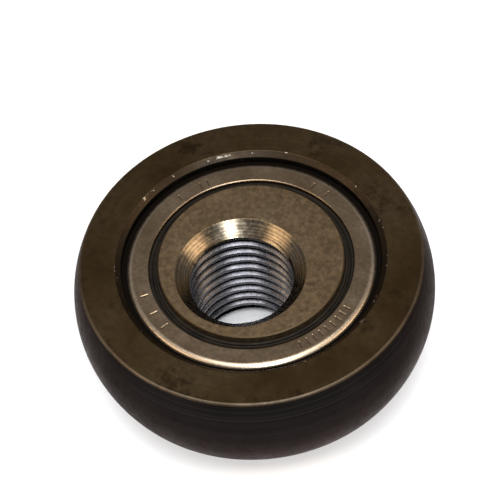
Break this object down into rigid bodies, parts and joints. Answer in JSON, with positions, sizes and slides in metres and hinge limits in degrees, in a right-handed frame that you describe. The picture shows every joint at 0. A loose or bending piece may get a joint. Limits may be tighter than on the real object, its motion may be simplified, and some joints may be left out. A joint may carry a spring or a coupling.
{
  "type": "cam follower",
  "caption": "Crowned roller cam follower: a sealed ball bearing with a thick outer ring and a longer inner ring that has an eccentric, countersunk threaded bore.",
  "frame": {"origin": "on the spin axis, at the inner ring's lower face, which is clamped to the machine", "axes": "+Z along the spin axis, from the clamped face towards the countersunk end; the threaded bore is off centre towards -Y"},
  "size_m": [0.056, 0.056, 0.023],
  "materials": {
    "tread_steel": "black oxide on hardened steel, satin",
    "ground_steel": "fine turned and ground, lightly oiled",
    "shield_steel": "pressed sheet, satin",
    "seal_rubber": "matt nitrile",
    "cap_steel": "pressed sheet",
    "cage_steel": "pressed strip, oiled",
    "rivet_steel": "headed wire",
    "ball_steel": "polished"
  },
  "bodies": {
    "inner": {"inner_ring": "ground_steel"},
    "outer": {"outer_ring": "tread_steel", "shield_upper": "shield_steel", "shield_lower": "shield_steel", "seal_upper": "seal_rubber", "seal_lower": "seal_rubber", "backing_cap_upper": "cap_steel", "backing_cap_lower": "cap_steel"},
    "cage": {"cage_upper": "cage_steel", "cage_lower": "cage_steel", "cage_rivets": "rivet_steel"},
    "ball_1": {"ball_1": "ball_steel"},
    "ball_2": {"ball_2": "ball_steel"},
    "ball_3": {"ball_3": "ball_steel"},
    "ball_4": {"ball_4": "ball_steel"},
    "ball_5": {"ball_5": "ball_steel"},
    "ball_6": {"ball_6": "ball_steel"},
    "ball_7": {"ball_7": "ball_steel"},
    "ball_8": {"ball_8": "ball_steel"}
  },
  "joints": [
    {"name": "outer_spin", "type": "hinge", "parent": "inner", "child": "outer", "pos_m": [0, 0, 0.015], "axis": [0, 0, 1], "continuous": true},
    {"name": "cage_spin", "type": "hinge", "parent": "inner", "child": "cage", "pos_m": [0, 0, 0.015], "axis": [0, 0, 1], "continuous": true},
    {"name": "ball_1_roll", "type": "hinge", "parent": "cage", "child": "ball_1", "pos_m": [0.0171, 0, 0.015], "axis": [0, 0, 1], "continuous": true},
    {"name": "ball_2_roll", "type": "hinge", "parent": "cage", "child": "ball_2", "pos_m": [0.01209, 0.01209, 0.015], "axis": [0, 0, 1], "continuous": true},
    {"name": "ball_3_roll", "type": "hinge", "parent": "cage", "child": "ball_3", "pos_m": [0, 0.0171, 0.015], "axis": [0, 0, 1], "continuous": true},
    {"name": "ball_4_roll", "type": "hinge", "parent": "cage", "child": "ball_4", "pos_m": [-0.01209, 0.01209, 0.015], "axis": [0, 0, 1], "continuous": true},
    {"name": "ball_5_roll", "type": "hinge", "parent": "cage", "child": "ball_5", "pos_m": [-0.0171, 0, 0.015], "axis": [0, 0, 1], "continuous": true},
    {"name": "ball_6_roll", "type": "hinge", "parent": "cage", "child": "ball_6", "pos_m": [-0.01209, -0.01209, 0.015], "axis": [0, 0, 1], "continuous": true},
    {"name": "ball_7_roll", "type": "hinge", "parent": "cage", "child": "ball_7", "pos_m": [0, -0.0171, 0.015], "axis": [0, 0, 1], "continuous": true},
    {"name": "ball_8_roll", "type": "hinge", "parent": "cage", "child": "ball_8", "pos_m": [0.01209, -0.01209, 0.015], "axis": [0, 0, 1], "continuous": true}
  ],
  "couplings": [
    {"joint": "cage_spin", "follows": "outer_spin", "ratio": 0.61605},
    {"joint": "ball_1_roll", "follows": "outer_spin", "ratio": 2.0381},
    {"joint": "ball_2_roll", "follows": "outer_spin", "ratio": 2.0381},
    {"joint": "ball_3_roll", "follows": "outer_spin", "ratio": 2.0381},
    {"joint": "ball_4_roll", "follows": "outer_spin", "ratio": 2.0381},
    {"joint": "ball_5_roll", "follows": "outer_spin", "ratio": 2.0381},
    {"joint": "ball_6_roll", "follows": "outer_spin", "ratio": 2.0381},
    {"joint": "ball_7_roll", "follows": "outer_spin", "ratio": 2.0381},
    {"joint": "ball_8_roll", "follows": "outer_spin", "ratio": 2.0381}
  ]
}
